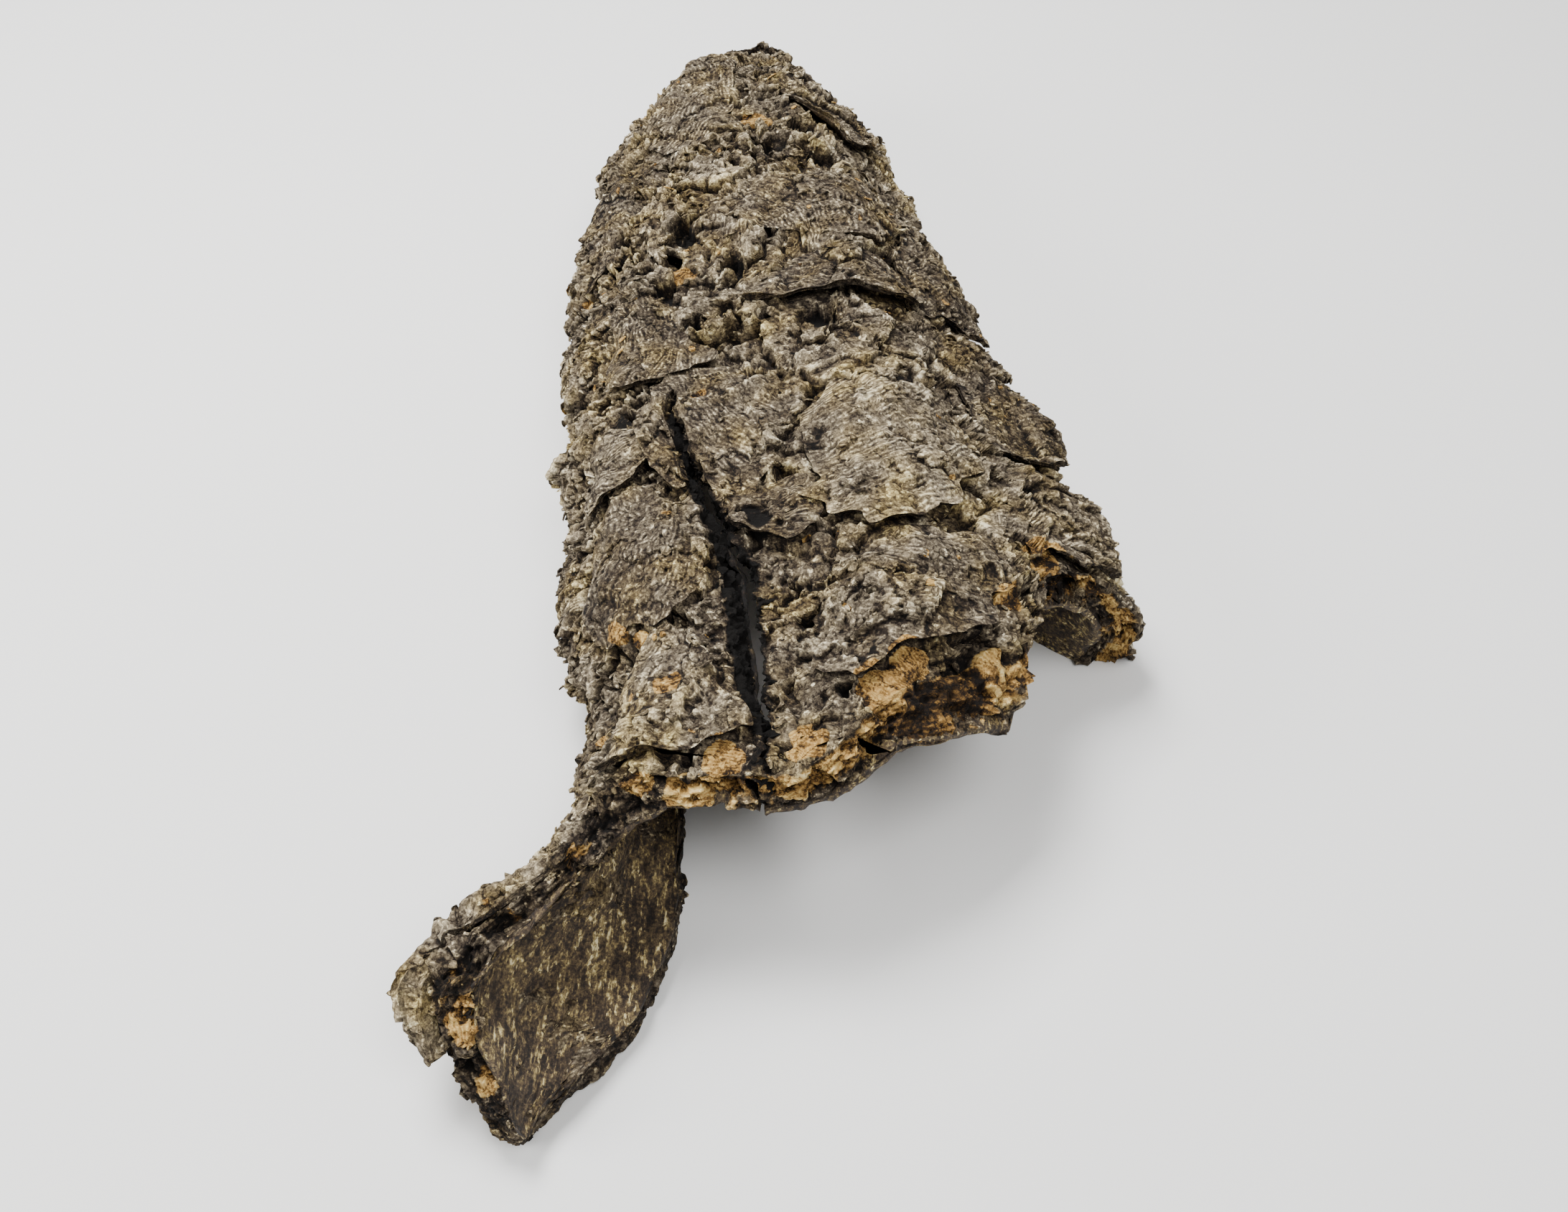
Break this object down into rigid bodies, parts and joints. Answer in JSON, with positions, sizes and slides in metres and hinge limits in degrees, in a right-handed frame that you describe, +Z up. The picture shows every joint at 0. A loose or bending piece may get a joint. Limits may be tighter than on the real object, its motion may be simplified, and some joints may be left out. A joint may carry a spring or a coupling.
{
  "type": "cork bark slab",
  "caption": "Half-round slab of rough virgin cork bark lying arched side up, with a long side tongue, a drying split and flaking plates.",
  "frame": {"origin": "bottom centre of the bark's bounding box, on the surface that the bark lies on", "axes": "+Z up, +Y along the bark towards its narrow far end, +X towards the right rim when seen from the tongue's end"},
  "size_m": [0.3301, 0.678, 0.1263],
  "materials": {
    "cork": "matt, deeply fissured grey-brown cork that is tan where it is broken",
    "weathered_cork": "matt grey-brown weathered plates with fine growth ridges and pale worn crests",
    "inner_bark": "matt dark brown hard inner face with streaky yellow-brown grain"
  },
  "bodies": {
    "root": {"cork_layer": "cork", "inner_skin": "inner_bark", "tongue_corner_plate": "weathered_cork", "tongue_neck_plate": "weathered_cork", "front_left_plate": "weathered_cork", "left_lobe_plate": "weathered_cork", "split_flap": "weathered_cork", "split_wedge_plate": "weathered_cork", "curled_lip": "weathered_cork", "centre_plate": "weathered_cork", "front_centre_plate": "weathered_cork", "right_lobe_plate": "weathered_cork", "right_edge_plate": "weathered_cork", "ledge_plate": "weathered_cork", "ridged_plate": "weathered_cork", "crown_plate": "weathered_cork", "left_brow_plate": "weathered_cork", "right_brow_plate": "weathered_cork", "far_tip_plate": "weathered_cork", "far_crest_plate": "weathered_cork"}
  },
  "joints": []
}
